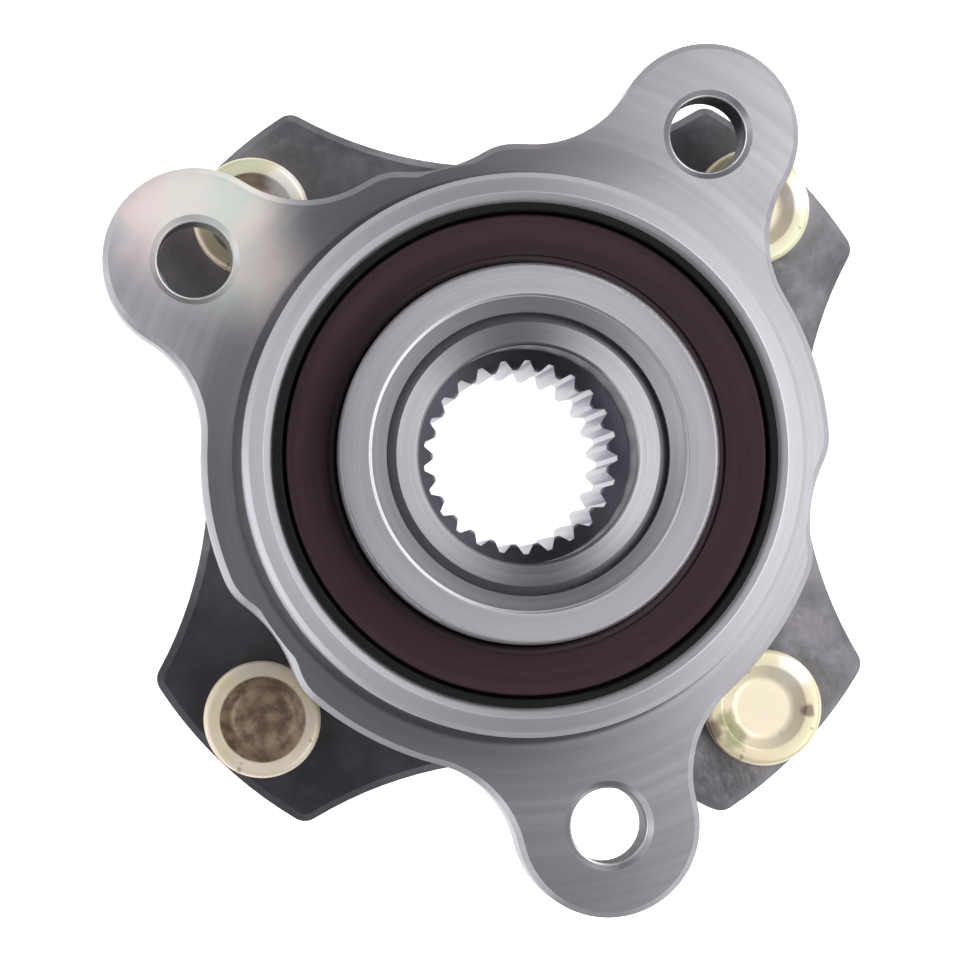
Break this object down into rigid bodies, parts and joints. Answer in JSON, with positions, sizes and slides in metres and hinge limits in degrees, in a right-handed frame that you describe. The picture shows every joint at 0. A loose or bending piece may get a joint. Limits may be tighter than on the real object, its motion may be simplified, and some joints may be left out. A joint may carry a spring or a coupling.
{
  "type": "wheel hub bearing",
  "caption": "Driven wheel hub with a flanged double-row ball bearing: eared outer ring, lobed wheel flange with studs, splined bore, cassette seal with magnetic encoder.",
  "frame": {"origin": "on the bearing axis, in the plane of the ear plate's face that bolts against the steering knuckle", "axes": "+Z along the bearing axis, inboard towards the knuckle and drive shaft; -Z towards the wheel; the single ear lies on -Y and the paired ears at 45.5 degrees above +X and -X"},
  "size_m": [0.1104, 0.1198, 0.085],
  "materials": {
    "outer_ring_steel": "turned and ground",
    "hub_steel": "forged and phosphated, turned on the seats",
    "bearing_steel": "ground",
    "seal_sheet_steel": "pressed sheet",
    "seal_rubber": "moulded",
    "encoder_rubber": "moulded magnetic rubber",
    "cage_plastic": "moulded glass-filled polyamide",
    "stud_zinc": "yellow zinc plated",
    "ball_steel": "lapped and polished"
  },
  "bodies": {
    "outer": {"outer_ring": "outer_ring_steel", "inboard_seal_case": "seal_sheet_steel", "inboard_seal_lip": "seal_rubber", "outboard_seal_core": "seal_sheet_steel", "outboard_seal_lip": "seal_rubber"},
    "rotor": {"hub": "hub_steel", "inner_ring": "bearing_steel", "inboard_seal_slinger": "seal_sheet_steel", "encoder_ring": "encoder_rubber", "wheel_stud_1": "stud_zinc", "wheel_stud_2": "stud_zinc", "wheel_stud_3": "stud_zinc", "wheel_stud_4": "stud_zinc"},
    "inboard_row": {"inboard_cage": "cage_plastic", "inboard_ball_01": "ball_steel", "inboard_ball_02": "ball_steel", "inboard_ball_03": "ball_steel", "inboard_ball_04": "ball_steel", "inboard_ball_05": "ball_steel", "inboard_ball_06": "ball_steel", "inboard_ball_07": "ball_steel", "inboard_ball_08": "ball_steel", "inboard_ball_09": "ball_steel", "inboard_ball_10": "ball_steel", "inboard_ball_11": "ball_steel", "inboard_ball_12": "ball_steel", "inboard_ball_13": "ball_steel", "inboard_ball_14": "ball_steel"},
    "outboard_row": {"outboard_cage": "cage_plastic", "outboard_ball_01": "ball_steel", "outboard_ball_02": "ball_steel", "outboard_ball_03": "ball_steel", "outboard_ball_04": "ball_steel", "outboard_ball_05": "ball_steel", "outboard_ball_06": "ball_steel", "outboard_ball_07": "ball_steel", "outboard_ball_08": "ball_steel", "outboard_ball_09": "ball_steel", "outboard_ball_10": "ball_steel", "outboard_ball_11": "ball_steel", "outboard_ball_12": "ball_steel", "outboard_ball_13": "ball_steel", "outboard_ball_14": "ball_steel"}
  },
  "joints": [
    {"name": "hub_spin", "type": "hinge", "parent": "outer", "child": "rotor", "pos_m": [0, 0, 0], "axis": [0, 0, 1], "continuous": true},
    {"name": "inboard_row_spin", "type": "hinge", "parent": "outer", "child": "inboard_row", "pos_m": [0, 0, 0.005], "axis": [0, 0, 1], "continuous": true},
    {"name": "outboard_row_spin", "type": "hinge", "parent": "outer", "child": "outboard_row", "pos_m": [0, 0, -0.008], "axis": [0, 0, 1], "continuous": true}
  ],
  "couplings": [
    {"joint": "inboard_row_spin", "follows": "hub_spin", "ratio": 0.42867},
    {"joint": "outboard_row_spin", "follows": "hub_spin", "ratio": 0.42867}
  ]
}
